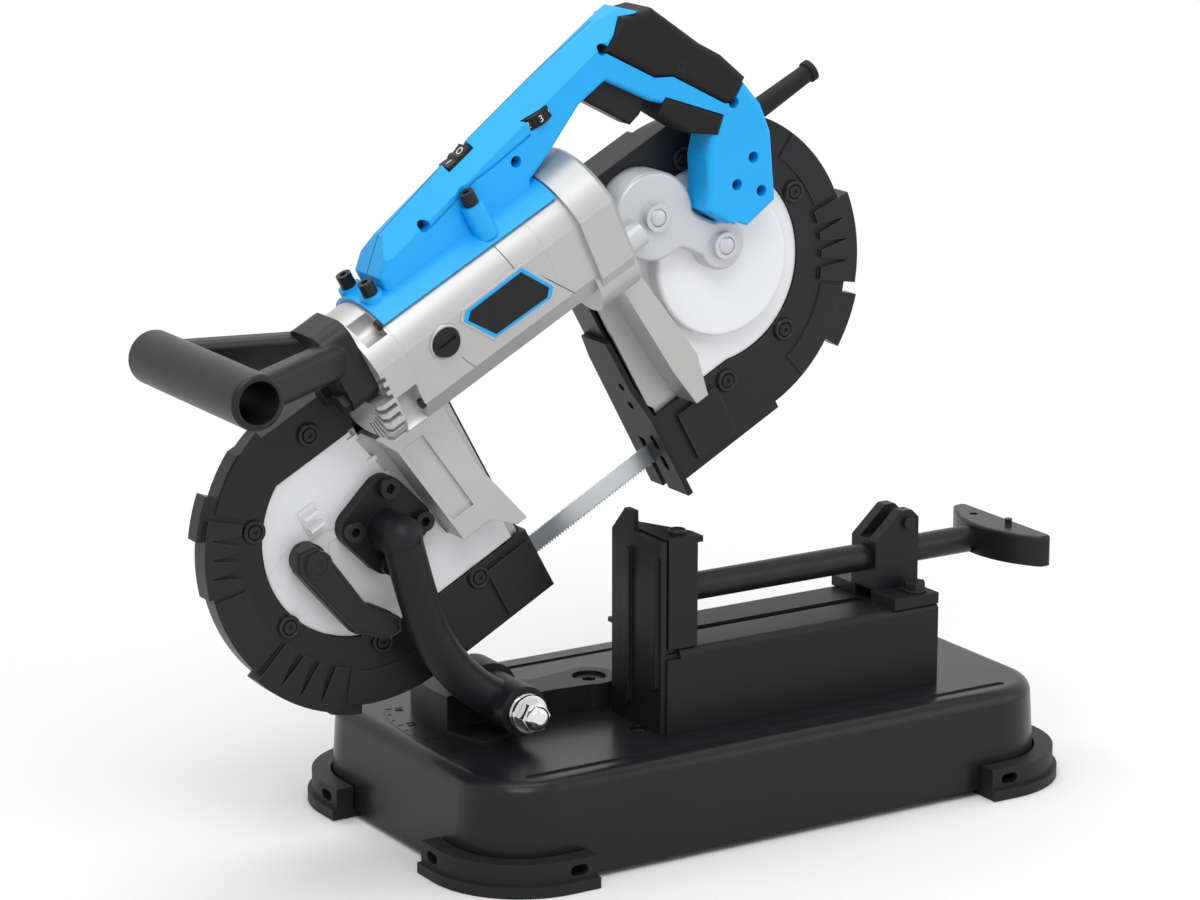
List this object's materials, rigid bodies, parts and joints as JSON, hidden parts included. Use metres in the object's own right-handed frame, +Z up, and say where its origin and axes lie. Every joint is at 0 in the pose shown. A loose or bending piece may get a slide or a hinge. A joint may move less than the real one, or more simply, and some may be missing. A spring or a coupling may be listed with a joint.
{
  "type": "metal band saw",
  "caption": "Hand-held metal band saw set on a pivoting arm over a bench stand with a sliding vise; the head swings down through the work.",
  "frame": {"origin": "centre of the footprint at the floor", "axes": "+X to the right along the vise, +Y away from the user, +Z up"},
  "size_m": [0.6174, 0.284, 0.5352],
  "materials": {
    "blue_plastic": "satin",
    "black_plastic": "satin",
    "black_rubber": "matte",
    "black_paint": "gloss",
    "silver_paint": "satin",
    "white_paint": "satin",
    "steel": "brushed",
    "bright_steel": "polished",
    "alloy": "satin",
    "copper_iron": "plain"
  },
  "bodies": {
    "stand": {"base_pan": "black_paint", "foot_back_left": "black_rubber", "foot_back_right": "black_rubber", "foot_front_left": "black_rubber", "foot_front_right": "black_rubber", "vise_body": "black_paint", "fixed_jaw": "black_paint", "nut_bracket": "black_paint", "bracket_bolts": "steel", "swivel_bolt": "steel"},
    "jaw": {"movable_jaw": "black_paint", "jaw_pin": "steel"},
    "screw": {"vise_screw": "steel", "screw_handle": "steel"},
    "swivel": {"swivel_plate": "black_paint", "pivot_bolt": "bright_steel", "pivot_washers": "bright_steel", "acorn_nut": "bright_steel"},
    "head": {"arm": "black_paint", "arm_screws": "steel", "main_frame": "silver_paint", "left_plate": "white_paint", "right_plate": "white_paint", "gear_cover": "silver_paint", "left_guard": "black_plastic", "right_guard": "black_plastic", "guard_screws": "steel", "return_cover": "black_plastic", "ball_bearings": "steel", "saw_blade": "steel", "blade_guides": "steel", "work_stop": "black_paint", "motor_housing": "silver_paint", "end_cap": "silver_paint", "gear_case": "silver_paint", "stator": "copper_iron", "brush_cap": "black_plastic", "handle_near": "blue_plastic", "handle_far": "blue_plastic", "upper_grip": "black_rubber", "lower_grip": "black_rubber", "handle_bolts": "steel", "aux_handle": "black_plastic", "cord_sleeve": "black_rubber"},
    "lever": {"tension_lever": "black_plastic", "lever_cam": "steel"},
    "carriage": {"idler_carriage": "steel", "idler_axle": "steel"},
    "idler": {"idler_wheel": "alloy", "idler_tyre": "black_rubber"},
    "drive": {"drive_wheel": "alloy", "drive_tyre": "black_rubber", "drive_shaft": "steel", "output_gear": "steel"},
    "cross": {"cross_gear": "steel"},
    "counter": {"counter_shaft": "steel"},
    "rotor": {"armature": "copper_iron"},
    "trigger_body": {"trigger": "black_plastic"},
    "dial": {"speed_dial": "black_plastic"},
    "rocker": {"rocker_switch": "black_plastic"}
  },
  "joints": [
    {"name": "vise_screw_turn", "type": "hinge", "parent": "jaw", "child": "screw", "pos_m": [0.1, -0.044, 0.153], "axis": [1, 0, 0], "range_deg": [0, 8640]},
    {"name": "vise_slide", "type": "slide", "parent": "stand", "child": "jaw", "axis": [1, 0, 0], "range_m": [0, 0.12]},
    {"name": "mitre_swivel", "type": "hinge", "parent": "stand", "child": "swivel", "pos_m": [0.0026, 0.01, 0.072], "axis": [0, 0, 1], "range_deg": [0, 45]},
    {"name": "head_tilt", "type": "hinge", "parent": "swivel", "child": "head", "pos_m": [-0.0821, -0.02, 0.0907], "axis": [0, -1, 0], "range_deg": [-38.5, 6]},
    {"name": "lever_turn", "type": "hinge", "parent": "head", "child": "lever", "pos_m": [-0.21185, 0, 0.19997], "axis": [0, 1, 0], "range_deg": [0, 160]},
    {"name": "idler_shift", "type": "slide", "parent": "head", "child": "carriage", "axis": [0.8788, 0, 0.4772], "range_m": [0, 0.0039]},
    {"name": "drive_turn", "type": "hinge", "parent": "head", "child": "drive", "pos_m": [0.09509, 0.02, 0.35979], "axis": [0, 1, 0], "continuous": true},
    {"name": "idler_turn", "type": "hinge", "parent": "carriage", "child": "idler", "pos_m": [-0.17057, 0.02, 0.20986], "axis": [0, 1, 0], "continuous": true},
    {"name": "cross_turn", "type": "hinge", "parent": "head", "child": "cross", "pos_m": [0.03386, -0.01, 0.3971], "axis": [0, 1, 0], "continuous": true},
    {"name": "counter_turn", "type": "hinge", "parent": "head", "child": "counter", "pos_m": [-0.0092, -0.024, 0.37372], "axis": [0.8788, 0, 0.4772], "continuous": true},
    {"name": "rotor_turn", "type": "hinge", "parent": "head", "child": "rotor", "pos_m": [-0.11378, -0.017, 0.35676], "axis": [0.8788, 0, 0.4772], "continuous": true},
    {"name": "trigger_press", "type": "slide", "parent": "head", "child": "trigger_body", "axis": [0.469, 0, 0.8832], "range_m": [0, 0.006], "stiffness_N_per_m": 800, "springref_m": -0.004},
    {"name": "dial_turn", "type": "hinge", "parent": "head", "child": "dial", "pos_m": [-0.06128, -0.026, 0.47175], "axis": [-0.4772, 0, 0.8788], "range_deg": [0, 270]},
    {"name": "rocker_tip", "type": "hinge", "parent": "head", "child": "rocker", "pos_m": [-0.11013, -0.017, 0.4475], "axis": [0, 1, 0], "range_deg": [0, 8]}
  ],
  "couplings": [
    {"joint": "vise_slide", "follows": "vise_screw_turn", "m_per_rad": 0.00079577},
    {"joint": "lever_turn", "follows": "idler_shift", "rad_per_m": 716.03},
    {"joint": "idler_turn", "follows": "drive_turn", "ratio": 1},
    {"joint": "cross_turn", "follows": "drive_turn", "ratio": -1.871},
    {"joint": "counter_turn", "follows": "drive_turn", "ratio": -6.2366},
    {"joint": "rotor_turn", "follows": "drive_turn", "ratio": 9.0084}
  ]
}
